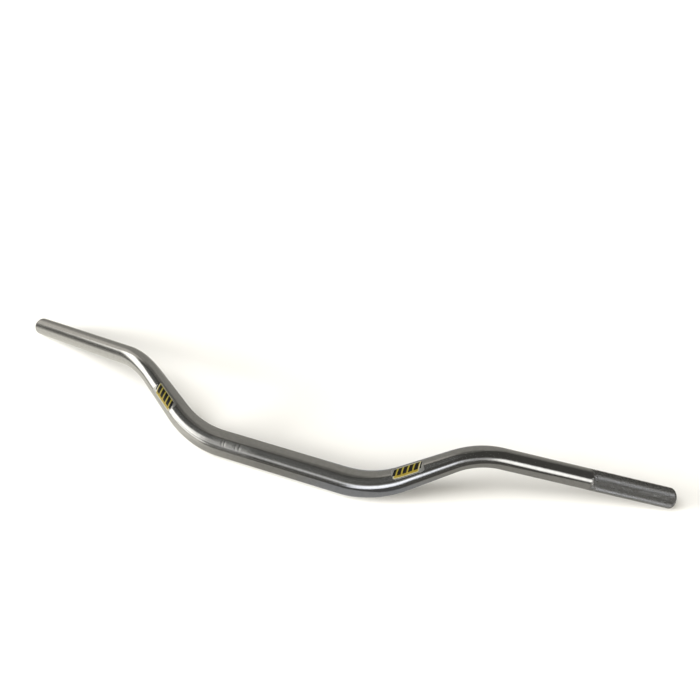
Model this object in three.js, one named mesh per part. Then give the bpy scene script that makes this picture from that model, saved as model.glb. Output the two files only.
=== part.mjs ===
// Tapered off-road handlebar, crossbar-less, bent from one drawn aluminium tube,
// with a label on each riser. Millimetres. It stands as it rests on a flat surface:
// on the underside of the straight clamp section and the lower rims of both grip ends.
//   origin  on the resting plane, straight below the middle of the clamp axis
//   +X      along the clamp axis, towards the rider's left grip
//   +Y      the way the risers lean and the grips sweep
//   +Z      up from the resting plane
// "Arc length" is measured along the tube axis from the middle of the clamp section.
import * as THREE from "three";

// ---- driving dimensions ---------------------------------------------------
const CLAMP_DIAMETER = 28.6; // oversize clamp section
const GRIP_DIAMETER = 22.2; // 7/8 inch grip section
const WALL = 4; // tube wall
const CLAMP_CORNER = 102.8; // clamp centre to the corner of the first bend
const RISER_LENGTH = 113.6; // corner of the first bend to corner of the second
const RISER_SPREAD = 34.5; // degrees between the riser and the clamp axis
const RISER_LIFT = 43.6; // degrees the riser plane is turned up from +Y about the clamp axis
const GRIP_LENGTH = 220.6; // corner of the second bend to the tube end
const GRIP_SWEEP = 21.3; // degrees between the grip and the clamp axis
const GRIP_LIFT = -36.653; // as RISER_LIFT for the grip plane; negative is down
const INNER_BEND_RADIUS = 108; // bend beside the clamp section
const OUTER_BEND_RADIUS = 80; // bend beside the grip
const TAPER_START = 78; // arc length where the tube starts to slim down
const TAPER_END = 193; // arc length where it has reached grip diameter
const OUTER_CHAMFER = 0.9; // tube ends, outside edge; also the length of both chamfers
const BORE_CHAMFER = 0.6; // tube ends, inside edge, measured across the wall

const LABEL = {
  length: 34,
  width: 13.4, // along the circumference
  corner: 3.2, // corner radius of the outline
  thickness: 0.25,
  gap: 0.1, // between the label and the edges of the tube's flats
};
// at: arc length of the label centre; turn: degrees from the top of the tube towards -Y
const LEFT_LABEL = { side: 1, at: 141, turn: 9 };
const RIGHT_LABEL = { side: -1, at: 154.5, turn: 36 };

// ---- mesh resolution --------------------------------------------------------
const SIDES = 32; // flats round the tube, one of them level underneath
const BEND_STEPS = 12; // stations along each bend
const LABEL_CELLS = { along: 14, across: 8 };
const LABEL_SPACING_POWER = 0.9; // below 1 evens out the cosine spacing along a label

// The flats touch the true circle, so the level flat underneath is exactly one
// clamp radius below the axis. This takes that radius out to the edges of the flats.
const CORNER_FACTOR = 1 / Math.cos(Math.PI / SIDES);

// ---- tube axis ----------------------------------------------------------------
const radians = THREE.MathUtils.degToRad;

function direction(spread, lift) {
  const sideways = Math.sin(radians(spread));
  return new THREE.Vector3(
    Math.cos(radians(spread)),
    sideways * Math.cos(radians(lift)),
    sideways * Math.sin(radians(lift)),
  );
}

// Point and tangent at a distance from the start of one section.
function locateIn({ from, heading, radius, inward }, distance) {
  const point = from.clone();
  const tangent = heading.clone();
  if (!radius) return { point: point.addScaledVector(heading, distance), tangent };
  const angle = distance / radius;
  point
    .addScaledVector(heading, radius * Math.sin(angle))
    .addScaledVector(inward, radius * (1 - Math.cos(angle)));
  tangent.multiplyScalar(Math.cos(angle)).addScaledVector(inward, Math.sin(angle));
  return { point, tangent };
}

// The +X half of the axis: straight, bend, straight, bend, straight, end to end.
function axisSections() {
  const clampHeading = new THREE.Vector3(1, 0, 0);
  const riserHeading = direction(RISER_SPREAD, RISER_LIFT);
  const gripHeading = direction(GRIP_SWEEP, GRIP_LIFT);

  const straight = (heading, length) => ({ heading, length });
  const bend = (heading, next, radius) => {
    const angle = heading.angleTo(next);
    // inward points from the start of the bend to its centre
    const inward = next.clone().addScaledVector(heading, -heading.dot(next)).normalize();
    const setback = radius * Math.tan(angle / 2); // tangent point to corner
    return { heading, length: radius * angle, radius, inward, setback };
  };
  const inner = bend(clampHeading, riserHeading, INNER_BEND_RADIUS);
  const outer = bend(riserHeading, gripHeading, OUTER_BEND_RADIUS);

  let start = 0;
  let from = new THREE.Vector3(0, 0, CLAMP_DIAMETER / 2);
  return [
    straight(clampHeading, CLAMP_CORNER - inner.setback),
    inner,
    straight(riserHeading, RISER_LENGTH - inner.setback - outer.setback),
    outer,
    straight(gripHeading, GRIP_LENGTH - outer.setback),
  ].map((shape) => {
    const section = { ...shape, start, from };
    start += section.length;
    from = locateIn(section, section.length).point;
    return section;
  });
}
const sections = axisSections();
const HALF_LENGTH = sections.at(-1).start + sections.at(-1).length;

// The whole axis, from -HALF_LENGTH to +HALF_LENGTH, mirrored about X = 0.
// The tangent always runs towards the +X end.
function axisAt(arc) {
  const distance = Math.abs(arc);
  const section = sections.findLast(({ start }) => distance >= start);
  const { point, tangent } = locateIn(section, distance - section.start);
  if (arc < 0) {
    point.x *= -1;
    tangent.set(tangent.x, -tangent.y, -tangent.z);
  }
  return { point, tangent };
}

const outerRadius = (arc) =>
  THREE.MathUtils.mapLinear(
    THREE.MathUtils.clamp(Math.abs(arc), TAPER_START, TAPER_END),
    TAPER_START,
    TAPER_END,
    CLAMP_DIAMETER / 2,
    GRIP_DIAMETER / 2,
  );

// ---- tube ---------------------------------------------------------------------
// Arc lengths of the rings on the +X half, from the first bend out to the tube end.
function halfStations() {
  const arcs = [TAPER_START, TAPER_END, HALF_LENGTH - OUTER_CHAMFER];
  for (const { start, length, radius } of sections) {
    const steps = radius ? BEND_STEPS : 1;
    for (let i = 1; i <= steps; i++) arcs.push(start + (length * i) / steps);
  }
  return [...new Set(arcs)].sort((a, b) => a - b);
}

// One frame for each station, carried outwards without twist from the middle,
// so the flats of neighbouring stations line up.
function carryFrames(arcs) {
  let across = new THREE.Vector3(0, -1, 0);
  let up = new THREE.Vector3(0, 0, 1);
  let previous = new THREE.Vector3(1, 0, 0);
  return arcs.map((arc) => {
    const { point, tangent } = axisAt(arc);
    const turn = new THREE.Quaternion().setFromUnitVectors(previous, tangent);
    across = across.clone().applyQuaternion(turn);
    up = up.clone().applyQuaternion(turn);
    previous = tangent;
    return { arc, point, across, up };
  });
}

// A point beside the axis, at an angle from up towards across.
const pointAround = ({ point, up, across }, radius, angle) =>
  point
    .clone()
    .addScaledVector(up, radius * Math.cos(angle))
    .addScaledVector(across, radius * Math.sin(angle));

function tubeGeometry() {
  const arcs = halfStations();
  const frames = [
    ...carryFrames(arcs.map((arc) => -arc)).reverse(),
    ...carryFrames(arcs),
  ];
  const chamferAt = (arc, chamfer) => (Math.abs(arc) === HALF_LENGTH ? chamfer : 0);
  const outside = frames.map((frame) => ({
    frame,
    radius: outerRadius(frame.arc) - chamferAt(frame.arc, OUTER_CHAMFER),
  }));
  const bore = frames.map((frame) => ({
    frame,
    radius: outerRadius(frame.arc) - WALL + chamferAt(frame.arc, BORE_CHAMFER),
  }));
  // outside, end to end, then back through the bore
  const rings = [...outside, ...bore.reverse()];

  const vertices = [];
  const faces = [];
  rings.forEach(({ frame, radius }, i) => {
    const ring = i * SIDES;
    const nextRing = ((i + 1) % rings.length) * SIDES;
    for (let k = 0; k < SIDES; k++) {
      const angle = ((k + 0.5) / SIDES) * 2 * Math.PI;
      vertices.push(...pointAround(frame, radius * CORNER_FACTOR, angle));
      const n = (k + 1) % SIDES;
      faces.push(ring + k, nextRing + n, nextRing + k);
      faces.push(ring + k, ring + n, nextRing + n);
    }
  });
  return geometryFrom(vertices, faces);
}

// ---- riser label ----------------------------------------------------------------
// Offsets along the label from its centre, finer towards the rounded corners.
function labelOffsets() {
  const count = LABEL_CELLS.along;
  return Array.from({ length: count + 1 }, (_, i) => {
    const x = -Math.cos((Math.PI * i) / count);
    return (LABEL.length / 2) * Math.sign(x) * Math.abs(x) ** LABEL_SPACING_POWER;
  });
}

function labelHalfWidth(offset) {
  const { length, width, corner } = LABEL;
  const intoCorner = Math.max(Math.abs(offset) - (length / 2 - corner), 0);
  // the inner max keeps rounding from making the root negative at the label's ends
  return width / 2 - corner + Math.sqrt(Math.max(corner ** 2 - intoCorner ** 2, 0));
}

// A thin rounded rectangle wrapped round the riser on one side, +1 or -1 along X.
function labelGeometry({ side, at, turn }) {
  const { along, across: cellsAcross } = LABEL_CELLS;
  const vertices = [];
  const faces = [];

  function addLayer(lift) {
    const first = vertices.length / 3;
    for (const offset of labelOffsets()) {
      const arc = side * (at + offset);
      const { point, tangent } = axisAt(arc);
      const up = new THREE.Vector3(0, 0, 1).addScaledVector(tangent, -tangent.z).normalize();
      const across = tangent.clone().cross(up);
      const radius = outerRadius(arc) * CORNER_FACTOR + LABEL.gap + lift;
      for (let j = 0; j <= cellsAcross; j++) {
        const offAcross = labelHalfWidth(offset) * ((2 * j) / cellsAcross - 1);
        const angle = radians(turn) + offAcross / outerRadius(arc);
        vertices.push(...pointAround({ point, up, across }, radius, angle));
      }
    }
    return (i, j) => first + i * (cellsAcross + 1) + j;
  }
  const low = addLayer(0);
  const high = addLayer(LABEL.thickness);

  // The grid is mirrored between the two sides, so the +X faces are turned round.
  const quad = (a, b, c, d) =>
    faces.push(...(side > 0 ? [a, c, b, a, d, c] : [a, b, c, a, c, d]));
  const rim = (i, j, toI, toJ) => quad(low(i, j), low(toI, toJ), high(toI, toJ), high(i, j));

  for (let i = 0; i < along; i++) {
    for (let j = 0; j < cellsAcross; j++) {
      quad(high(i, j), high(i + 1, j), high(i + 1, j + 1), high(i, j + 1));
      quad(low(i, j), low(i, j + 1), low(i + 1, j + 1), low(i + 1, j));
    }
    rim(i, 0, i + 1, 0);
    rim(i + 1, cellsAcross, i, cellsAcross);
  }
  for (let j = 0; j < cellsAcross; j++) {
    rim(0, j + 1, 0, j);
    rim(along, j, along, j + 1);
  }
  return geometryFrom(vertices, faces);
}

// ---- assembly ---------------------------------------------------------------------
function geometryFrom(vertices, faces) {
  const geometry = new THREE.BufferGeometry();
  geometry.setAttribute("position", new THREE.Float32BufferAttribute(vertices, 3));
  geometry.setIndex(faces);
  geometry.computeVertexNormals();
  return geometry;
}

const aluminium = () =>
  new THREE.MeshStandardMaterial({ color: 0x8d8f92, roughness: 0.3, metalness: 1 });
const yellowFilm = () =>
  new THREE.MeshStandardMaterial({ color: 0xd9b93a, roughness: 0.35, metalness: 0 });

function piece(name, geometry, material) {
  const mesh = new THREE.Mesh(geometry, material);
  mesh.name = name;
  return mesh;
}

const handlebar = new THREE.Group();
handlebar.name = "handlebar";
handlebar.add(
  piece("bar_tube", tubeGeometry(), aluminium()),
  piece("riser_decal_left", labelGeometry(LEFT_LABEL), yellowFilm()),
  piece("riser_decal_right", labelGeometry(RIGHT_LABEL), yellowFilm()),
);

export default handlebar;
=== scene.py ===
import math

import bpy
import numpy as np
from mathutils import Matrix, Vector


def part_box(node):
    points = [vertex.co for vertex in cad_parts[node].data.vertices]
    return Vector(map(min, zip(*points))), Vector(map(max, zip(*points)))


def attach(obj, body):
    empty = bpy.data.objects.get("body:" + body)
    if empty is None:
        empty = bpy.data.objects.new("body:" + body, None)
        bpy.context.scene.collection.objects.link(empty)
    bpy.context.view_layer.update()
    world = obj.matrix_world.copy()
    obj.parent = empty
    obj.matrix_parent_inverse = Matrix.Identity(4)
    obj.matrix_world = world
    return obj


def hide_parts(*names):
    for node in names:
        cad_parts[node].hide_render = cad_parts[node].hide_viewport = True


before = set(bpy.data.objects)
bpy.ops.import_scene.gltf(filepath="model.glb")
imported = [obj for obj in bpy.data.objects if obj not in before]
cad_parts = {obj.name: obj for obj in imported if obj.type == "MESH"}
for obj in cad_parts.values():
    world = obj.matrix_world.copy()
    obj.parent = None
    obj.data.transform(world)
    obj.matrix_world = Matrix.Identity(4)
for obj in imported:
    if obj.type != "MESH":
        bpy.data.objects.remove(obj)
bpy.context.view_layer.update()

scene = bpy.context.scene
MM = 0.001

# ------------------------------------------------------------------ dimensions
# The same driving dimensions as the CAD solid, in millimetres and degrees.
CLAMP_R, GRIP_R, WALL = 14.3, 11.1, 4.0
# The middle of the bar's axis sits one clamp radius above and behind the lowest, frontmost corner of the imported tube.
tube_low, tube_high = (np.array(c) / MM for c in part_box("bar_tube"))
MIDDLE = np.array([(tube_low[0] + tube_high[0]) / 2, tube_low[1] + CLAMP_R, tube_low[2] + CLAMP_R])
CLAMP_CORNER, RISER_LENGTH, GRIP_LENGTH = 102.8, 113.6, 220.6
RISER_SPREAD, RISER_LIFT = 34.5, 43.6
GRIP_SWEEP, GRIP_DROP = 21.3, -36.653
INNER_BEND_R, OUTER_BEND_R = 108.0, 80.0
TAPER_START, TAPER_END = 78.0, 193.0
OUTER_CHAMFER, BORE_CHAMFER = 0.9, 0.6

COLUMNS = 96  # vertices round the tube, two to a knurl diamond
KNURL_START = 334.0  # arc length where the knurled zone of the left grip begins
KNURL_ROW = 1.2  # half of a diamond's length along the tube
KNURL_TIP, KNURL_ROOT = 0.12, -0.34  # tips stand proud of the drawn surface, grooves are cut into it

LABELS = {"label_left": "riser_decal_left", "label_right": "riser_decal_right"}
LABEL_LENGTH, LABEL_WIDTH, LABEL_CORNER = 34.0, 13.4, 3.2


def direction(off, turn):
    off, turn = math.radians(off), math.radians(turn)
    return np.array([math.cos(off), math.sin(off) * math.cos(turn), math.sin(off) * math.sin(turn)])


T0, T1, T2 = np.array([1.0, 0, 0]), direction(RISER_SPREAD, RISER_LIFT), direction(GRIP_SWEEP, GRIP_DROP)
C1 = MIDDLE + CLAMP_CORNER * T0
C2 = C1 + RISER_LENGTH * T1
BEND1, BEND2 = math.acos(T0 @ T1), math.acos(T1 @ T2)
CUT1, CUT2 = INNER_BEND_R * math.tan(BEND1 / 2), OUTER_BEND_R * math.tan(BEND2 / 2)


def aside(u, v):
    w = v - u * (u @ v)
    return w / np.linalg.norm(w)


PIECES = [  # length, start point, direction, bend radius, side the bend turns to
    (CLAMP_CORNER - CUT1, C1 - CLAMP_CORNER * T0, T0, None, None),
    (INNER_BEND_R * BEND1, C1 - CUT1 * T0, T0, INNER_BEND_R, aside(T0, T1)),
    (RISER_LENGTH - CUT1 - CUT2, C1 + CUT1 * T1, T1, None, None),
    (OUTER_BEND_R * BEND2, C2 - CUT2 * T1, T1, OUTER_BEND_R, aside(T1, T2)),
    (GRIP_LENGTH - CUT2, C2 + CUT2 * T2, T2, None, None),
]
STARTS = np.cumsum([0] + [p[0] for p in PIECES])
HALF = STARTS[-1]


def axis_at(s):
    """Point and unit tangent of the bar axis at signed arc length s."""
    a = abs(s)
    i = max(0, min(len(PIECES) - 1, int(np.searchsorted(STARTS, a, side="right")) - 1))
    _, start, d, radius, side = PIECES[i]
    w = a - STARTS[i]
    if radius is None:
        p, t = start + d * w, d.copy()
    else:
        f = w / radius
        p = start + d * radius * math.sin(f) + side * radius * (1 - math.cos(f))
        t = d * math.cos(f) + side * math.sin(f)
    if s < 0:
        p = np.array([2 * MIDDLE[0] - p[0], p[1], p[2]])
        t = np.array([t[0], -t[1], -t[2]])
    return p, t


def place_of(node):
    """Arc length, side and degrees from the top of the tube towards -Y at which a node's box is centred."""
    low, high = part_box(node)
    centre = (np.array(low) + np.array(high)) / 2 / MM
    side = 1 if centre[0] > MIDDLE[0] else -1
    s = min(np.arange(0.0, HALF, 0.05), key=lambda a: np.linalg.norm(axis_at(side * a)[0] - centre))
    p, t = axis_at(side * s)
    up = np.array([0, 0, 1.0]) - t * t[2]
    up /= np.linalg.norm(up)
    return float(s), side, math.degrees(math.atan2((centre - p) @ np.cross(t, up), (centre - p) @ up))


def smooth(x):
    x = np.clip(x, 0, 1)
    return x * x * (3 - 2 * x)


def skin_radius(s):
    """The drawn outside radius: straight taper, its two ends eased over a few millimetres as swaging leaves them."""
    u = (abs(s) - TAPER_START) / (TAPER_END - TAPER_START)
    ease = 0.07
    if u <= -ease:
        f = 0.0
    elif u < ease:
        f = (u + ease) ** 2 / (4 * ease)
    elif u <= 1 - ease:
        f = u
    elif u < 1 + ease:
        f = 1 - (1 + ease - u) ** 2 / (4 * ease)
    else:
        f = 1.0
    return CLAMP_R + (GRIP_R - CLAMP_R) * f


def carried_frames(stations):
    """Axis frames at sorted arc lengths, carried without twist from the middle: point, tangent, up, across."""
    out = {}
    for part in ([s for s in stations if s >= 0], [s for s in reversed(stations) if s < 0]):
        up, across, last = np.array([0, 0, 1.0]), np.array([0, -1.0, 0]), np.array([1.0, 0, 0])
        for s in part:
            p, t = axis_at(s)
            c = np.cross(last, t)
            n = np.linalg.norm(c)
            if n > 1e-9:
                R = np.array(Matrix.Rotation(math.atan2(n, last @ t), 3, Vector(c / n)))
                up, across = R @ up, R @ across
            last = t
            out[s] = (p, t, up, across)
    return [out[s] for s in stations]


# ------------------------------------------------------------------ meshes
def mesh_object(name, verts, faces, uvs=None, smooth_flags=None, materials=(), slots=None, sharp=None):
    me = bpy.data.meshes.new(name)
    me.from_pydata((np.asarray(verts) * MM).tolist(), [], faces)
    me.update()
    if uvs is not None:
        layer = me.uv_layers.new(name="TubeUV")
        layer.data.foreach_set("uv", np.asarray(uvs, np.float32).ravel())
    if smooth_flags is not None:
        me.polygons.foreach_set("use_smooth", smooth_flags)
    for m in materials:
        me.materials.append(m)
    if slots is not None:
        me.polygons.foreach_set("material_index", slots)
    if sharp:
        for e in me.edges:
            if (e.vertices[0], e.vertices[1]) in sharp or (e.vertices[1], e.vertices[0]) in sharp:
                e.use_edge_sharp = True
    me.validate()
    ob = bpy.data.objects.new(name, me)
    scene.collection.objects.link(ob)
    return ob


# short engraved strokes of the clamp position scale, on the rider's right of the clamp seat
STROKES = [(-63.9, 0.22, 0.036), (-61.2, 0.22, 0.030), (-48.2, 0.22, 0.024), (-43.8, 0.22, 0.024)]
STROKE_FROM, STROKE_TO = 24.0, 58.0  # degrees from the top towards -Y


def stroke_depth(s, deg):
    d = 0.0
    for at, half, depth in STROKES:
        d = max(d, depth * float(smooth(1.6 - abs(s - at) / half * 1.0)) if abs(s - at) < 1.6 * half else 0.0)
    ends = float(smooth((deg - STROKE_FROM) / 4.0) * smooth((STROKE_TO - deg) / 4.0))
    return d * ends


def build_tube(materials):
    knurl_end = HALF - OUTER_CHAMFER - 0.5
    rows = int(round((knurl_end - KNURL_START) / KNURL_ROW))
    knurl = list(np.linspace(KNURL_START, knurl_end, rows + 1))
    stations = []

    def span(a, b, step):
        n = max(1, int(math.ceil((b - a) / step)))
        stations.extend(np.linspace(a, b, n + 1)[:-1])

    marks = [0, STARTS[1], STARTS[2], STARTS[3], STARTS[4]]
    # right half, then its mirror with the left grip left plain
    right = []
    stations = []
    span(marks[0], marks[1] - 4, 4.0)
    span(marks[1] - 4, marks[2] + 4, 1.4)
    span(marks[2] + 4, marks[3] - 4, 3.0)
    span(marks[3] - 4, marks[4] + 4, 1.3)
    right = list(stations)
    stations = []
    span(marks[4] + 4, KNURL_START - 0.45, 6.0)
    plus_tail = list(stations) + [KNURL_START - 0.45, KNURL_START - 0.2] + knurl + [knurl_end + 0.22, HALF - OUTER_CHAMFER]
    stations = []
    span(marks[4] + 4, HALF - OUTER_CHAMFER, 6.0)
    minus_tail = list(stations) + [HALF - OUTER_CHAMFER]
    minus = [s for s in right if s > 0 and not 40 < s < 68] + minus_tail
    fine = []
    for at, half, _ in STROKES:
        fine += [at + k * half for k in (-1.7, -1.2, -0.6, 0, 0.6, 1.2, 1.7)]
    fine += [-v for v in np.arange(40.0, 68.0, 3.0) if all(abs(-v - at) > 2 for at, _, _ in STROKES)]
    outer = sorted([-s for s in minus] + fine) + right + plus_tail
    outer = sorted(set(round(float(s), 5) for s in outer))

    verts, uv_v, ring_start = [], [], []
    frames = carried_frames(outer)
    ang = np.arange(COLUMNS) * 2 * math.pi / COLUMNS
    knurl_set = {round(float(s), 5): i for i, s in enumerate(knurl)}
    cavity = []  # 0 in a groove, 1 on the drawn surface or on a tip
    rng = np.random.default_rng(11)
    waves = [(float(rng.uniform(3, 11)) * float(rng.choice([-1, 1])), int(rng.integers(2, 13)), float(rng.uniform(0, 6.3))) for _ in range(9)]
    rolled = np.zeros(200000)

    def ring(f, radius):
        p, t, up, across = f
        start = len(verts)
        radius = np.broadcast_to(radius, ang.shape)
        v = p + radius[:, None] * (np.cos(ang)[:, None] * up + np.sin(ang)[:, None] * across)
        verts.extend(v)
        return start

    kinds = []
    for s, f in zip(outer, frames):
        base = skin_radius(s)
        r = np.full(COLUMNS, base)
        cav = np.ones(COLUMNS)
        if s in knurl_set:
            i = knurl_set[s]
            tip = (np.arange(COLUMNS) + i) % 2 == 1
            # the rolls catch in patches over the first millimetres and run out before the end; tips are a little uneven
            run = float(smooth((knurl_end - s + 1.0) / 2.5))
            caught = rng.random(COLUMNS) < 0.30 + 0.70 * min(1.0, max(0.0, (s - KNURL_START) / 9.0))
            bite = run * float(smooth((s - KNURL_START + 0.8) / 5.0)) * np.where(caught, 1.0, 0.40)
            wear = sum(np.sin(2 * math.pi * s / w + m * ang + f) for w, m, f in waves) / math.sqrt(len(waves))
            uneven = 1 + 0.08 * rng.standard_normal(COLUMNS) - 0.30 * wear
            r = base + bite * np.where(tip, KNURL_TIP * uneven, KNURL_ROOT * (1 + 0.03 * rng.standard_normal(COLUMNS) + 0.12 * wear)) + 0.06 * run * smooth((s - KNURL_START) / 4.0) * wear
            cav = np.where(tip, 1.0, 1.0 - bite)
            rolled[len(verts) : len(verts) + COLUMNS] = bite
            kinds.append(("knurl", i))
        else:
            if -70 < s < -35:
                # angle from the top towards -Y is the column angle here, on the straight
                d = np.array([stroke_depth(s, math.degrees(a) if a < math.pi else math.degrees(a) - 360) for a in ang])
                r = base - d
                cav = np.maximum(0.0, 1 - d / 0.018)
            kinds.append(("skin", None))
        ring_start.append(ring(f, r))
        uv_v.append(s)
        cavity.extend(cav)
    n_outer = len(outer)

    # end rings: chamfer to the face, across the wall, bore chamfer, then back through the bore
    def end_frame(sign):
        base = frames[-1] if sign > 0 else frames[0]
        p, t = axis_at(sign * HALF)
        return (p, t, base[2], base[3])

    faces, uvs, smooths, slots, sharp = [], [], [], [], set()

    def join(a, b, va, vb, slot, sm, diag=None):
        for k in range(COLUMNS):
            n = (k + 1) % COLUMNS
            u0, u1 = k / COLUMNS, (k + 1) / COLUMNS
            quad = [(a + k, u0, va), (a + n, u1, va), (b + n, u1, vb), (b + k, u0, vb)]
            if diag is None:
                faces.append([q[0] for q in quad])
                uvs.extend([(q[1], q[2]) for q in quad])
                smooths.append(sm)
                slots.append(slot)
            else:
                # split along the groove, which joins the two low corners
                low_a = (k + diag) % 2 == 0
                tri = (0, 1, 2, 3) if low_a else (1, 2, 3, 0)
                for t3 in ((tri[0], tri[1], tri[2]), (tri[0], tri[2], tri[3])):
                    faces.append([quad[i][0] for i in t3])
                    uvs.extend([(quad[i][1], quad[i][2]) for i in t3])
                    smooths.append(sm)
                    slots.append(slot)

    def mark_ring(start):
        for k in range(COLUMNS):
            sharp.add((start + k, start + (k + 1) % COLUMNS))

    for i in range(n_outer - 1):
        both = kinds[i][0] == "knurl" and kinds[i + 1][0] == "knurl"
        any_k = kinds[i][0] == "knurl" or kinds[i + 1][0] == "knurl"
        join(ring_start[i], ring_start[i + 1], uv_v[i] * MM, uv_v[i + 1] * MM, 0, not any_k, kinds[i][1] if both else None)

    def cap(sign):
        f = end_frame(sign)
        face_r = GRIP_R - OUTER_CHAMFER
        bore_r = GRIP_R - WALL
        p, t, up, across = f

        def at(depth, radius):
            g = (p - sign * t * depth, t, up, across)
            return ring(g, radius)

        # outer chamfer with softened corners, face, bore chamfer
        ids = [
            (at(0.10, face_r + 0.10), 0.0, 1),
            (at(0.0, face_r - 0.12), 0.0, 1),
            (at(0.0, (face_r + bore_r + BORE_CHAMFER) / 2), 0.0, 1),
            (at(0.0, bore_r + BORE_CHAMFER), 0.0, 1),
            (at(BORE_CHAMFER, bore_r), 0.0, 2),
        ]
        return ids

    cap_plus, cap_minus = cap(1), cap(-1)
    cavity.extend([1.0] * (len(verts) - len(cavity)))

    # bore stations
    stations = []
    span(0, marks[1], 12)
    span(marks[1], marks[2], 3.2)
    span(marks[2], marks[3], 8)
    span(marks[3], marks[4], 3.0)
    span(marks[4], HALF - 4, 16)
    half = list(stations) + [HALF - 4]
    bore = sorted([-s for s in half if s > 0]) + half
    bframes = carried_frames([float(s) for s in bore])
    bore_start = [ring(f, skin_radius(s) - WALL) for s, f in zip(bore, bframes)]
    cavity.extend([1.0] * (len(verts) - len(cavity)))

    R = GRIP_R * 2 * math.pi * MM
    # +X end
    v0 = uv_v[-1] * MM
    chain = [(ring_start[-1], 0)] + [(c[0], c[2]) for c in cap_plus]
    for j in range(len(chain) - 1):
        join(chain[j][0], chain[j + 1][0], v0 + j * 0.001, v0 + (j + 1) * 0.001, 1 if j < 4 else 2, True)
    join(cap_plus[-1][0], bore_start[-1], v0, bore[-1] * MM, 2, True)
    for i in range(len(bore) - 1, 0, -1):
        join(bore_start[i], bore_start[i - 1], bore[i] * MM, bore[i - 1] * MM, 2, True)
    v1 = uv_v[0] * MM
    join(bore_start[0], cap_minus[-1][0], bore[0] * MM, v1, 2, True)
    chain = [(ring_start[0], 0)] + [(c[0], c[2]) for c in cap_minus]
    for j in range(len(chain) - 1, 0, -1):
        join(chain[j][0], chain[j - 1][0], v1 - j * 0.001, v1 - (j - 1) * 0.001, 2 if j == 5 else 1, True)
    for c in (cap_plus, cap_minus):
        mark_ring(c[0][0])
        mark_ring(c[1][0])
        mark_ring(c[3][0])
        mark_ring(c[4][0])
    mark_ring(ring_start[-1])
    mark_ring(ring_start[0])
    ob = mesh_object("tube_body", verts, faces, uvs, smooths, materials, slots, sharp)
    att = ob.data.attributes.new("relief", "FLOAT", "POINT")
    att.data.foreach_set("value", np.asarray(cavity, np.float32))
    att = ob.data.attributes.new("rolled", "FLOAT", "POINT")
    att.data.foreach_set("value", rolled[: len(verts)].astype(np.float32))
    return ob


def build_label(name, at, side, turn, materials):
    """A thin film with a rounded outline, wrapped on the riser: top face, edge and underside in one closed mesh."""
    nu, nv = 68, 40
    half = LABEL_LENGTH / 2
    x = -np.cos(np.linspace(0, math.pi, nu + 1))
    us = half * np.sign(x) * np.abs(x) ** 0.85
    verts, uvs_v = [], []

    def layer(lift, inset):
        start = len(verts)
        for u in us:
            hu = u * (half - inset) / half
            over = abs(u) - (half - LABEL_CORNER)
            cut = LABEL_CORNER - math.sqrt(max(LABEL_CORNER**2 - over**2, 0)) if over > 0 else 0
            hw = LABEL_WIDTH / 2 - cut - inset
            s = side * (at + hu)
            p, t = axis_at(s)
            up = np.array([0, 0, 1.0]) - t * t[2]
            up /= np.linalg.norm(up)
            across = np.cross(t, up)
            r = skin_radius(s)
            for j in range(nv + 1):
                v = hw * (2 * j / nv - 1)
                a = math.radians(turn) + v / r
                verts.append(p + (r + lift) * (math.cos(a) * up + math.sin(a) * across))
                uvs_v.append((hu, v))
        return start

    low, mid, high = layer(0.012, 0.0), layer(0.10, 0.0), layer(0.13, 0.05)
    faces, slots = [], []
    idx = lambda st, i, j: st + i * (nv + 1) + j

    def quad(a, b, c, d):
        faces.append([a, b, c, d] if side < 0 else [a, d, c, b])

    for i in range(nu):
        for j in range(nv):
            quad(idx(high, i, j), idx(high, i + 1, j), idx(high, i + 1, j + 1), idx(high, i, j + 1))
            quad(idx(low, i, j), idx(low, i, j + 1), idx(low, i + 1, j + 1), idx(low, i + 1, j))
    for lo, hi in ((low, mid), (mid, high)):
        for i in range(nu):
            quad(idx(lo, i, 0), idx(lo, i + 1, 0), idx(hi, i + 1, 0), idx(hi, i, 0))
            quad(idx(lo, i + 1, nv), idx(lo, i, nv), idx(hi, i, nv), idx(hi, i + 1, nv))
        for j in range(nv):
            quad(idx(lo, 0, j + 1), idx(lo, 0, j), idx(hi, 0, j), idx(hi, 0, j + 1))
            quad(idx(lo, nu, j), idx(lo, nu, j + 1), idx(hi, nu, j + 1), idx(hi, nu, j))
    uvs = [tuple(c * MM for c in uvs_v[v]) for f in faces for v in f]
    return mesh_object(name, verts, faces, uvs, [True] * len(faces), materials)


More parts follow.
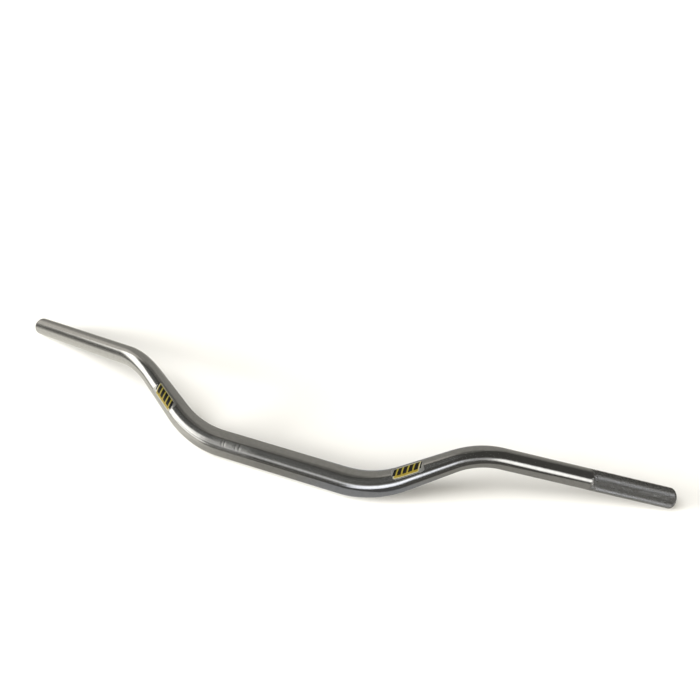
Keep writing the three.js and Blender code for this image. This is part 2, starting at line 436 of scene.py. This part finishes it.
# ------------------------------------------------------------------ node helpers
class Nodes:
    def __init__(self, tree):
        self.t = tree
        tree.nodes.clear()

    def new(self, kind, **inputs):
        n = self.t.nodes.new(kind)
        for k, v in inputs.items():
            setattr(n, k, v)
        return n

    def link(self, a, b):
        self.t.links.new(a, b)

    def feed(self, socket, value):
        if isinstance(value, bpy.types.NodeSocket):
            self.t.links.new(value, socket)
        else:
            socket.default_value = value

    def math(self, op, a, b=0.0, c=None, clamp=False):
        n = self.new("ShaderNodeMath", operation=op, use_clamp=clamp)
        self.feed(n.inputs[0], a)
        self.feed(n.inputs[1], b)
        if c is not None:
            self.feed(n.inputs[2], c)
        return n.outputs[0]

    def ramp(self, x, lo, hi, out0=0.0, out1=1.0, kind="SMOOTHSTEP"):
        n = self.new("ShaderNodeMapRange", interpolation_type=kind, clamp=True)
        self.feed(n.inputs["Value"], x)
        self.feed(n.inputs["From Min"], lo)
        self.feed(n.inputs["From Max"], hi)
        self.feed(n.inputs["To Min"], out0)
        self.feed(n.inputs["To Max"], out1)
        return n.outputs["Result"]

    def window(self, x, lo, hi, soft):
        return self.math("MULTIPLY", self.ramp(x, lo - soft, lo + soft), self.ramp(x, hi - soft, hi + soft, 1.0, 0.0))

    def mix(self, fac, a, b):
        n = self.new("ShaderNodeMix", data_type="RGBA")
        self.feed(n.inputs[0], fac)
        self.feed(n.inputs[6], a)
        self.feed(n.inputs[7], b)
        return n.outputs[2]

    def vec(self, x, y, z):
        n = self.new("ShaderNodeCombineXYZ")
        for i, v in enumerate((x, y, z)):
            self.feed(n.inputs[i], v)
        return n.outputs[0]

    def times(self, a, b):
        """The product of two colours."""
        n = self.new("ShaderNodeVectorMath", operation="MULTIPLY")
        self.link(a, n.inputs[0])
        self.link(b, n.inputs[1])
        return n.outputs[0]

    def noise(self, vector, scale=1.0, detail=2.0, rough=0.5, distortion=0.0):
        n = self.new("ShaderNodeTexNoise", noise_dimensions="3D")
        self.feed(n.inputs["Vector"], vector)
        n.inputs["Scale"].default_value = scale
        n.inputs["Detail"].default_value = detail
        n.inputs["Roughness"].default_value = rough
        n.inputs["Distortion"].default_value = distortion
        return n.outputs["Fac"]

    def bump(self, height, strength, distance, normal=None):
        n = self.new("ShaderNodeBump")
        n.inputs["Strength"].default_value = strength
        n.inputs["Distance"].default_value = distance
        self.feed(n.inputs["Height"], height)
        if normal is not None:
            self.feed(n.inputs["Normal"], normal)
        return n.outputs["Normal"]


def material(name):
    m = bpy.data.materials.new(name)
    m.use_nodes = True
    return m, Nodes(m.node_tree)


def tube_coordinates(g):
    """u round the tube in radians as cos and sin, v along it in metres."""
    uv = g.new("ShaderNodeUVMap", uv_map="TubeUV").outputs[0]
    sep = g.new("ShaderNodeSeparateXYZ")
    g.link(uv, sep.inputs[0])
    a = g.math("MULTIPLY", sep.outputs[0], 2 * math.pi)
    return uv, g.math("COSINE", a), g.math("SINE", a), sep.outputs[1], sep.outputs[0]


def aluminium():
    m, g = material("bar_aluminium")
    uv, cu, su, v, u = tube_coordinates(g)
    # polishing lines run round the tube, die lines run along it
    rings = g.noise(g.vec(g.math("MULTIPLY", cu, 0.9), g.math("MULTIPLY", su, 0.9), g.math("MULTIPLY", v, 2600)), 1.0, 3, 0.65)
    rings2 = g.noise(g.vec(g.math("MULTIPLY", cu, 1.7), g.math("MULTIPLY", su, 1.7), g.math("MULTIPLY", v, 620)), 1.0, 4, 0.6)
    draw = g.noise(g.vec(g.math("MULTIPLY", cu, 42), g.math("MULTIPLY", su, 42), g.math("MULTIPLY", v, 7)), 1.0, 4, 0.62)
    cloud = g.noise(g.vec(g.math("MULTIPLY", cu, 1.1), g.math("MULTIPLY", su, 1.1), g.math("MULTIPLY", v, 38)), 1.0, 3, 0.55)
    wave = g.noise(g.vec(g.math("MULTIPLY", cu, 0.8), g.math("MULTIPLY", su, 0.8), g.math("MULTIPLY", v, 60)), 1.0, 1, 0.4)
    hand = g.noise(g.vec(g.math("MULTIPLY", cu, 3.2), g.math("MULTIPLY", su, 3.2), g.math("MULTIPLY", v, 210)), 1.0, 3, 0.6)
    # sparse handling scratches at a slant
    slant = g.noise(g.vec(g.math("ADD", g.math("MULTIPLY", cu, 26), g.math("MULTIPLY", v, 900)), g.math("MULTIPLY", su, 26), g.math("MULTIPLY", v, 16)), 1.0, 2, 0.5)
    scratch = g.ramp(slant, 0.70, 0.78)

    knurled = g.new("ShaderNodeAttribute", attribute_name="rolled").outputs["Fac"]
    band = g.math("MULTIPLY", g.ramp(v, -0.086, -0.060), g.ramp(v, -0.040, -0.022, 1.0, 0.0))
    relief = g.new("ShaderNodeAttribute", attribute_name="relief").outputs["Fac"]
    groove_shade = g.math("SUBTRACT", 1.0, relief, clamp=True)

    # colour: bare metal, faintly clouded; painted shade darkens the knurl grooves and the engraved strokes
    base = g.mix(cloud, (0.60, 0.605, 0.61, 1), (0.66, 0.655, 0.645, 1))
    base = g.mix(g.math("MULTIPLY", rings2, 0.35), base, (0.55, 0.55, 0.555, 1))
    base = g.mix(g.math("MULTIPLY", g.ramp(hand, 0.42, 0.62), 0.30), base, (0.50, 0.50, 0.505, 1))
    base = g.mix(g.math("MULTIPLY", band, 0.18), base, (0.52, 0.52, 0.52, 1))
    worn = g.noise(g.vec(g.math("MULTIPLY", cu, 5.5), g.math("MULTIPLY", su, 5.5), g.math("MULTIPLY", v, 420)), 1.0, 4, 0.62)
    # painted shade: the knurl is coloured darker in its grooves than on its tips; worn patches on it are darker too
    knurl_shade_and_wear = g.mix(g.ramp(relief, 0.0, 0.8), (0.53, 0.535, 0.55, 1), (0.78, 0.785, 0.80, 1))
    knurl_shade_and_wear = g.mix(g.ramp(worn, 0.40, 0.60), g.mix(0.55, knurl_shade_and_wear, (0.34, 0.33, 0.31, 1)), knurl_shade_and_wear)
    base = g.mix(knurled, base, knurl_shade_and_wear)
    # painted shade: outside the knurl, the engraved strokes are darkened towards near black by their depth
    base = g.mix(g.math("MULTIPLY", groove_shade, g.math("SUBTRACT", 1.0, knurled)), base, (0.10, 0.10, 0.10, 1))
    base = g.mix(g.math("MULTIPLY", scratch, 0.2), base, (0.8, 0.8, 0.8, 1))

    rough = g.math("ADD", 0.140, g.math("MULTIPLY", g.math("SUBTRACT", rings, 0.5), 0.10))
    rough = g.math("ADD", rough, g.math("MULTIPLY", g.math("SUBTRACT", cloud, 0.5), 0.07))
    rough = g.math("ADD", rough, g.math("MULTIPLY", g.math("SUBTRACT", draw, 0.5), 0.05))
    rough = g.math("ADD", rough, g.math("MULTIPLY", band, 0.075))
    rough = g.math("ADD", rough, g.math("MULTIPLY", knurled, g.ramp(relief, 0.0, 1.0, 0.16, -0.02)))
    rough = g.math("ADD", rough, g.math("MULTIPLY", knurled, g.ramp(worn, 0.42, 0.62, 0.16, 0.0)))
    rough = g.math("ADD", rough, g.math("MULTIPLY", scratch, 0.06), clamp=True)

    n = g.bump(wave, 0.6, 0.00006)
    n = g.bump(hand, 0.6, 0.00007, n)
    n = g.bump(draw, 0.5, 0.0000035, n)
    n = g.bump(rings, 0.6, 0.0000016, n)
    # the clamp seat band is finely ring-rolled
    threads = g.math("SINE", g.math("MULTIPLY", v, 2 * math.pi / 0.0009))
    grain = g.noise(g.vec(g.math("MULTIPLY", cu, 48), g.math("MULTIPLY", su, 48), g.math("MULTIPLY", v, 3000)), 1.0, 2, 0.6)
    fine = g.math("MULTIPLY", band, g.math("ADD", g.math("MULTIPLY", threads, 0.35), grain))
    n = g.bump(fine, 1.0, 0.0000032, n)

    b = g.new("ShaderNodeBsdfPrincipled")
    g.feed(b.inputs["Base Color"], base)
    b.inputs["Metallic"].default_value = 1.0
    g.feed(b.inputs["Roughness"], rough)
    b.inputs["Anisotropic"].default_value = 0.6
    b.inputs["Anisotropic Rotation"].default_value = 0.25
    tangent = g.new("ShaderNodeTangent", direction_type="UV_MAP", uv_map="TubeUV")
    g.link(tangent.outputs[0], b.inputs["Tangent"])
    g.feed(b.inputs["Normal"], n)
    out = g.new("ShaderNodeOutputMaterial")
    g.link(b.outputs[0], out.inputs[0])
    return m


def machined_end():
    """The faced and chamfered tube ends: fine lathe rings."""
    m, g = material("bar_end_turned")
    uv, cu, su, v, u = tube_coordinates(g)
    geo = g.new("ShaderNodeNewGeometry").outputs["Position"]
    rings = g.noise(g.vec(g.math("MULTIPLY", cu, 0.6), g.math("MULTIPLY", su, 0.6), g.math("MULTIPLY", v, 9000)), 1.0, 3, 0.6)
    speck = g.noise(geo, 2600, 3, 0.6)
    base = g.mix(rings, (0.58, 0.58, 0.585, 1), (0.74, 0.74, 0.73, 1))
    base = g.mix(g.ramp(speck, 0.60, 0.72), base, (0.45, 0.45, 0.45, 1))
    b = g.new("ShaderNodeBsdfPrincipled")
    g.feed(b.inputs["Base Color"], base)
    b.inputs["Metallic"].default_value = 1.0
    g.feed(b.inputs["Roughness"], g.math("ADD", 0.22, g.math("MULTIPLY", rings, 0.2)))
    n = g.bump(rings, 0.8, 0.00001)
    g.feed(b.inputs["Normal"], g.bump(speck, 0.4, 0.000006, n))
    out = g.new("ShaderNodeOutputMaterial")
    g.link(b.outputs[0], out.inputs[0])
    return m


def raw_bore():
    """Inside of the tube: dull extruded metal with die lines along it."""
    m, g = material("bar_bore_raw")
    uv, cu, su, v, u = tube_coordinates(g)
    die = g.noise(g.vec(g.math("MULTIPLY", cu, 30), g.math("MULTIPLY", su, 30), g.math("MULTIPLY", v, 9)), 1.0, 4, 0.6)
    stain = g.noise(g.vec(g.math("MULTIPLY", cu, 2), g.math("MULTIPLY", su, 2), g.math("MULTIPLY", v, 90)), 1.0, 4, 0.6)
    base = g.mix(die, (0.38, 0.38, 0.37, 1), (0.56, 0.56, 0.55, 1))
    base = g.mix(g.ramp(stain, 0.5, 0.75), base, (0.30, 0.29, 0.27, 1))
    b = g.new("ShaderNodeBsdfPrincipled")
    g.feed(b.inputs["Base Color"], base)
    b.inputs["Metallic"].default_value = 0.9
    g.feed(b.inputs["Roughness"], g.math("ADD", 0.42, g.math("MULTIPLY", stain, 0.2)))
    g.feed(b.inputs["Normal"], g.bump(die, 0.6, 0.00003))
    out = g.new("ShaderNodeOutputMaterial")
    g.link(b.outputs[0], out.inputs[0])
    return m


def label_film():
    """Printed clear vinyl: a yellow field with bold slanted black bars across it. No lettering."""
    m, g = material("decal_film")
    uv = g.new("ShaderNodeUVMap", uv_map="TubeUV").outputs[0]
    sep = g.new("ShaderNodeSeparateXYZ")
    g.link(uv, sep.inputs[0])
    x, y = g.math("MULTIPLY", sep.outputs[0], 1000), g.math("MULTIPLY", sep.outputs[1], 1000)
    lean = g.math("SUBTRACT", x, g.math("MULTIPLY", y, -0.55))
    edge = 0.06

    def within(v, half):
        return g.ramp(g.math("ABSOLUTE", v), half - edge, half + edge, 1.0, 0.0, "LINEAR")

    field = g.math("MULTIPLY", within(lean, 12.6), within(y, 4.9))
    rim = g.math("MULTIPLY", within(lean, 13.3), within(y, 5.5))
    low = g.math("SUBTRACT", y, -1.0)
    phase = g.math("FRACT", g.math("DIVIDE", g.math("ADD", lean, 80.0 - 15.6), 6.0))
    bars = g.math("MULTIPLY", g.ramp(phase, 0.015, 0.035, 0, 1, "LINEAR"), g.ramp(phase, 0.72, 0.74, 1, 0, "LINEAR"))
    bars = g.math("MULTIPLY", bars, g.math("MULTIPLY", within(lean, 15.4), within(low, 3.9)))
    halo = g.math("MULTIPLY", within(lean, 16.1), within(low, 4.3))

    pos = g.vec(sep.outputs[0], sep.outputs[1], 0.0)
    blot = g.noise(pos, 420, 3, 0.6)
    yellow = g.mix(blot, (0.150, 0.125, 0.013, 1), (0.195, 0.163, 0.023, 1))
    yellow = g.mix(g.ramp(y, -5.0, 5.0), yellow, (0.140, 0.102, 0.009, 1))
    black = g.mix(blot, (0.003, 0.003, 0.003, 1), (0.008, 0.008, 0.008, 1))
    clear = g.mix(blot, (0.42, 0.42, 0.41, 1), (0.52, 0.52, 0.505, 1))
    col = g.mix(g.math("MULTIPLY", halo, 0.6), clear, (0.50, 0.49, 0.46, 1))
    col = g.mix(rim, col, (0.26, 0.235, 0.12, 1))
    col = g.mix(field, col, yellow)
    col = g.mix(bars, col, black)
    ink = g.math("MAXIMUM", rim, bars)
    scuff = g.ramp(g.noise(g.vec(g.math("MULTIPLY", sep.outputs[0], 900), g.math("MULTIPLY", sep.outputs[1], 5200), 0.0), 1.0, 3, 0.6), 0.66, 0.74)
    col = g.mix(g.math("MULTIPLY", scuff, 0.12), col, (0.5, 0.5, 0.48, 1))
    b = g.new("ShaderNodeBsdfPrincipled")
    g.feed(b.inputs["Base Color"], col)
    g.feed(b.inputs["Metallic"], g.ramp(ink, 0.0, 1.0, 0.92, 0.0, "LINEAR"))
    g.feed(b.inputs["Roughness"], g.math("ADD", g.math("ADD", 0.30, g.math("MULTIPLY", blot, 0.10)), g.math("MULTIPLY", scuff, 0.2)))
    g.feed(b.inputs["Specular IOR Level"], g.ramp(bars, 0.0, 1.0, 0.4, 0.14, "LINEAR"))
    b.inputs["Coat Weight"].default_value = 0.08
    b.inputs["Coat Roughness"].default_value = 0.2
    peel = g.noise(pos, 1500, 2, 0.5)
    g.feed(b.inputs["Normal"], g.bump(peel, 0.3, 0.00002))
    out = g.new("ShaderNodeOutputMaterial")
    g.link(b.outputs[0], out.inputs[0])
    return m


# ------------------------------------------------------------------ the object
tube = build_tube([aluminium(), machined_end(), raw_bore()])
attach(tube, "root")
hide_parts("bar_tube")
film = label_film()
for name, node in LABELS.items():
    label = build_label(name, *place_of(node), [film])
    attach(label, "root")
    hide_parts(node)


# ------------------------------------------------------------------ floor
def floor_material():
    """Plain warm white paper, shaded only by the lamps. In the metal, glossy rays see instead a painted reflection: an
    emission glow and a lamp-lit coat whose painted tone is bright on the left, grey in the middle, set apart behind the
    bar and dark past its front edge."""
    m, g = material("floor_pale")
    geo = g.new("ShaderNodeNewGeometry")
    mottled = g.noise(geo.outputs["Position"], 9, 3, 0.5)
    col = g.mix(mottled, (0.850, 0.842, 0.815, 1), (0.868, 0.862, 0.838, 1))
    d = g.new("ShaderNodeBsdfPrincipled")
    g.feed(d.inputs["Base Color"], col)
    d.inputs["Roughness"].default_value = 0.85
    d.inputs["Specular IOR Level"].default_value = 0.1

    sep = g.new("ShaderNodeSeparateXYZ")
    g.link(geo.outputs["Position"], sep.inputs[0])
    x, y = sep.outputs[0], sep.outputs[1]
    line = g.math("MULTIPLY", g.math("MAXIMUM", g.math("SUBTRACT", g.math("ABSOLUTE", x), 0.103), 0.0), 0.40)
    # painted reflection: the floor's tone as the metal sees it, bright on the left, grey in the middle, its own tone
    # behind the bar, dark past a front edge
    painted_reflection_tone = g.math("ADD", g.ramp(x, -0.140, -0.100, 0.55, 0.30, "LINEAR"), g.ramp(x, -0.100, -0.020, 0.18, 0.0, "LINEAR"))
    painted_rear_tone = g.math("ADD", g.ramp(x, -0.26, -0.15, 0.25, 0.0), g.ramp(x, -0.08, 0.08, 0.25, 0.37))
    behind_bar = g.ramp(g.math("SUBTRACT", y, line), 0.012, 0.045)
    painted_reflection_tone = g.math("ADD", g.math("MULTIPLY", painted_reflection_tone, g.math("SUBTRACT", 1.0, behind_bar)), g.math("MULTIPLY", painted_rear_tone, behind_bar))
    edge = g.ramp(x, 0.085, 0.135, -0.082, -0.036)
    past = g.ramp(g.math("SUBTRACT", y, edge), -0.006, 0.014, 1.0, 0.0)
    past = g.math("MULTIPLY", past, g.ramp(g.math("SUBTRACT", x, g.math("MULTIPLY", g.math("ADD", y, 0.055), 0.6)), -0.134, -0.108))
    painted_reflection_tone = g.math("MULTIPLY", painted_reflection_tone, g.math("SUBTRACT", 1.0, g.math("MULTIPLY", past, 0.72)))
    painted_reflection_tone = g.math("MULTIPLY", painted_reflection_tone, g.ramp(x, -0.60, -0.44, 0.40, 1.0))
    # painted glow: the floor emits this tone to glossy rays though it is no lamp, cooler in one zone to the right of
    # the middle
    painted_glow = g.new("ShaderNodeEmission")
    painted_cool_zone = g.math("MULTIPLY", g.ramp(x, 0.0, 0.06), g.ramp(x, 0.14, 0.21, 1.0, 0.0))
    g.feed(painted_glow.inputs[0], g.mix(painted_cool_zone, (1.02, 0.99, 0.89, 1), (0.955, 0.985, 1.03, 1)))
    g.feed(painted_glow.inputs[1], g.math("MULTIPLY", painted_reflection_tone, 0.80))
    painted_tone_diffuse = g.new("ShaderNodeBsdfDiffuse")
    painted_tone_colour = g.new("ShaderNodeCombineColor")
    for i, k in enumerate((0.19, 0.185, 0.168)):
        g.feed(painted_tone_colour.inputs[i], g.math("MULTIPLY", painted_reflection_tone, k))
    g.link(painted_tone_colour.outputs[0], painted_tone_diffuse.inputs[0])
    both = g.new("ShaderNodeAddShader")
    g.link(painted_glow.outputs[0], both.inputs[0])
    g.link(painted_tone_diffuse.outputs[0], both.inputs[1])

    clear = g.new("ShaderNodeBsdfTransparent")
    path = g.new("ShaderNodeLightPath")
    # glossy rays see the painted reflection; camera and diffuse rays see the plain lamp-lit paper
    mirror = g.new("ShaderNodeMixShader")
    g.link(path.outputs["Is Glossy Ray"], mirror.inputs[0])
    g.link(d.outputs[0], mirror.inputs[1])
    g.link(both.outputs[0], mirror.inputs[2])
    under = g.math("MULTIPLY", geo.outputs["Backfacing"], path.outputs["Is Camera Ray"])
    mix = g.new("ShaderNodeMixShader")
    g.link(under, mix.inputs[0])
    g.link(mirror.outputs[0], mix.inputs[1])
    g.link(clear.outputs[0], mix.inputs[2])
    out = g.new("ShaderNodeOutputMaterial")
    g.link(mix.outputs[0], out.inputs[0])
    return m


side = 30.0
floor_mesh = bpy.data.meshes.new("floor")
floor_mesh.from_pydata([(-side, -side, -0.00005), (side, -side, -0.00005), (side, side, -0.00005), (-side, side, -0.00005)], [], [(0, 1, 2, 3)])
floor = bpy.data.objects.new("floor", floor_mesh)
floor_mesh.materials.append(floor_material())
scene.collection.objects.link(floor)


# ------------------------------------------------------------------ light
PANELS = [  # azimuth from and to (0 towards -Y), elevation from and to, tilt, edge softness, brightness, colour
    (-88.0, -2.0, 18.0, 40.0, -0.15, 5.0, 0.33, (1.0, 0.99, 0.93)),  # pale surround of the window
    (-75.0, -4.0, 38.0, 74.0, 0.0, 10.0, 0.075, (0.98, 1.0, 0.98)),  # ceiling lit by it
    (-4.0, 22.0, 2.0, 26.0, 0.13, 3.5, 1.40, (0.96, 0.985, 1.06)),  # lamp in front
    (-10.0, -4.0, 20.5, 27.0, 0.0, 2.5, 0.90, (0.96, 0.985, 1.06)),  # its left end
    (-26.0, -8.0, 23.3, 26.0, 0.0, 1.8, 0.62, (0.96, 0.985, 1.07)),  # thin bright rail left of it
    (1.0, 59.0, 11.0, 32.0, -0.10, 4.0, 0.32, (1.0, 1.0, 0.98)),  # wall between the lamps
    (41.0, 64.0, 3.0, 26.0, 0.45, 3.5, 1.40, (1.0, 0.99, 0.94)),  # lamp, front right
    (-121.0, -93.0, -21.0, 57.0, -0.60, 9.0, 0.33, (1.03, 0.96, 0.86)),  # lit wall on the left
]


def studio_world():
    """A dim room with a tall window to the front left and two lamps in front, seen in the metal; even light for the rest."""
    w = bpy.data.worlds.new("studio")
    scene.world = w
    w.use_nodes = True
    g = Nodes(w.node_tree)
    tc = g.new("ShaderNodeTexCoord")
    sep = g.new("ShaderNodeSeparateXYZ")
    g.link(tc.outputs["Generated"], sep.inputs[0])
    x, y, z = sep.outputs
    az = g.math("MULTIPLY", g.math("ARCTAN2", x, g.math("MULTIPLY", y, -1.0)), 180 / math.pi)  # 0 towards -Y, + towards +X
    el = g.math("MULTIPLY", g.math("ARCSINE", z), 180 / math.pi)

    # room: mid grey behind, dark overhead and in front
    off = g.math("ABSOLUTE", g.math("SUBTRACT", az, 30.0))
    off = g.math("MINIMUM", off, g.math("SUBTRACT", 360.0, off))
    behind = g.ramp(off, 108.0, 138.0)
    back = g.math("MULTIPLY", behind, g.ramp(el, 56.0, 76.0, 0.30, 0.14))
    low = g.math("MULTIPLY", g.ramp(az, -72.0, -35.0, 0.06, 0.0), g.ramp(el, 12.0, 30.0, 1.0, 0.0))
    front = g.math("ADD", g.ramp(el, 30.0, 70.0, 0.072, 0.064), low)
    front = g.math("MULTIPLY", g.math("SUBTRACT", 1.0, behind), front)

    def coloured(value, colour):
        return g.vec(*[g.math("MULTIPLY", value, k) for k in colour])

    def plus(a, b):
        n = g.new("ShaderNodeVectorMath", operation="ADD")
        g.link(a, n.inputs[0])
        g.link(b, n.inputs[1])
        return n.outputs[0]

    seen = plus(coloured(back, (1.02, 0.985, 0.885)), coloured(front, (1.03, 1.0, 0.90)))

    # tall window, front left; its sill drops and its head lowers towards the right
    sill = g.math("SUBTRACT", el, g.ramp(az, -78.0, -46.0, 18.0, -2.0))
    head = g.math("ADD", el, g.math("MULTIPLY", g.math("MAXIMUM", g.math("ADD", az, 60.0), 0.0), 0.35))
    head = g.math("ADD", head, g.ramp(az, -36.0, -30.0, 0.0, 10.0))
    jamb = g.math("ADD", az, g.math("MULTIPLY", g.math("MAXIMUM", g.math("SUBTRACT", el, 20.0), 0.0), 0.15))
    jamb = g.math("SUBTRACT", jamb, g.ramp(el, 4.0, 11.0, 3.8, 0.0))
    tall = g.math("MULTIPLY", g.ramp(az, -100.0, -90.0), g.ramp(jamb, -35.2, -31.2, 1.0, 0.0))
    tall = g.math("MULTIPLY", tall, g.math("MULTIPLY", g.ramp(sill, -4.0, 4.5), g.ramp(head, 46.0, 55.0, 1.0, 0.0)))
    rail = g.math("MULTIPLY", g.window(el, 8.5, 14.0, 2.0), g.math("ADD", g.ramp(az, -50.0, -40.0, 0.0, 0.55), g.ramp(az, -37.0, -31.5, 0.0, 0.35)))
    tall = g.math("MULTIPLY", tall, g.math("SUBTRACT", 1.0, rail))
    seen = plus(seen, coloured(g.math("MULTIPLY", tall, 1.7), (1.0, 0.985, 0.92)))

    def panel(az0, az1, el0, el1, shear, soft, power):
        """A softly edged rectangle of the surroundings, its edges tilted by the shear."""
        tilt = g.math("SUBTRACT", el, g.math("MULTIPLY", g.math("SUBTRACT", az, (az0 + az1) / 2), shear))
        mask = g.math("MULTIPLY", g.window(az, az0, az1, soft), g.window(tilt, el0, el1, soft))
        return g.math("MULTIPLY", mask, power)

    for *spec, colour in PANELS:
        seen = plus(seen, coloured(panel(*spec), colour))

    # the window's frame on its right, darker than what is on either side of it
    post = g.math("MULTIPLY", g.window(az, -33.5, -29.5, 1.5), g.ramp(el, 20.0, 28.0))
    keep = g.math("SUBTRACT", 1.0, g.math("MULTIPLY", post, 0.60))
    seen = g.times(seen, g.vec(keep, keep, keep))

    path = g.new("ShaderNodeLightPath")
    warm = seen
    spread = g.new("ShaderNodeRGB")
    spread.outputs[0].default_value = (0.05, 0.05, 0.05, 1)
    white = g.new("ShaderNodeRGB")
    white.outputs[0].default_value = (1.25, 1.25, 1.25, 1)
    col = g.mix(path.outputs["Is Glossy Ray"], spread.outputs[0], warm)
    col = g.mix(path.outputs["Is Camera Ray"], col, white.outputs[0])
    bg = g.new("ShaderNodeBackground")
    g.link(col, bg.inputs[0])
    out = g.new("ShaderNodeOutputWorld")
    g.link(bg.outputs[0], out.inputs[0])
    w.cycles.sampling_method = "NONE"
    return w


studio_world()


FLOOR_ALBEDO = 0.85


def sun(name, az, el, spread, share, colour):
    """A far soft lamp; share is the brightness it alone gives the unshadowed floor."""
    lamp = bpy.data.lights.new(name, "SUN")
    lamp.angle = math.radians(spread)
    lamp.energy = share * math.pi / (FLOOR_ALBEDO * math.sin(math.radians(el)))
    lamp.color = colour
    ob = bpy.data.objects.new(name, lamp)
    a, e = math.radians(az), math.radians(el)
    towards = Vector((math.sin(a) * math.cos(e), -math.cos(a) * math.cos(e), math.sin(e)))
    ob.location = towards * 4.0
    ob.rotation_mode = "QUATERNION"
    ob.rotation_quaternion = towards.to_track_quat("Z", "Y")
    ob.visible_camera = False
    ob.visible_glossy = False
    scene.collection.objects.link(ob)
    return ob


for spec in (
    ("window_low", -60.0, 9.0, 22.0, 0.25, (1.0, 0.99, 0.965)),
    ("window_high", -50.0, 49.0, 34.0, 0.45, (1.0, 1.0, 1.0)),
    ("front_left", -30.0, 20.0, 32.0, 0.12, (1.0, 0.985, 0.95)),
    ("front_right", 24.0, 35.0, 34.0, 0.19, (1.0, 0.965, 0.87)),
    ("overhead", 0.0, 70.0, 40.0, 0.16, (1.0, 0.96, 0.86)),
):
    sun(*spec)

# ------------------------------------------------------------------ camera
cam_data = bpy.data.cameras.new("camera")
cam = bpy.data.objects.new("camera", cam_data)
scene.collection.objects.link(cam)
scene.camera = cam
cam_data.sensor_width = 36.0
cam_data.lens = 592.957 * 36.0 / 700.0
cam_data.clip_start, cam_data.clip_end = 0.01, 100.0
AZ, EL, ROLL, DIST = 0.27492, 0.61073, 0.0849, 0.83461835
TARGET = np.array([-0.00289306, 0.24560095, 0.0])
back = np.array([math.sin(AZ) * math.cos(EL), -math.cos(AZ) * math.cos(EL), math.sin(EL)])
eye = TARGET + back * DIST
right = np.cross(-back, [0, 0, 1.0])
right /= np.linalg.norm(right)
top = np.cross(right, -back)
r2 = math.cos(ROLL) * right + math.sin(ROLL) * top
u2 = -math.sin(ROLL) * right + math.cos(ROLL) * top
M = Matrix((
    (r2[0], u2[0], back[0], eye[0]),
    (r2[1], u2[1], back[1], eye[1]),
    (r2[2], u2[2], back[2], eye[2]),
    (0, 0, 0, 1),
))
cam.matrix_world = M

scene.view_settings.view_transform = "Standard"
scene.view_settings.look = "None"
scene.view_settings.exposure = 0.0
scene.view_settings.gamma = 1.0
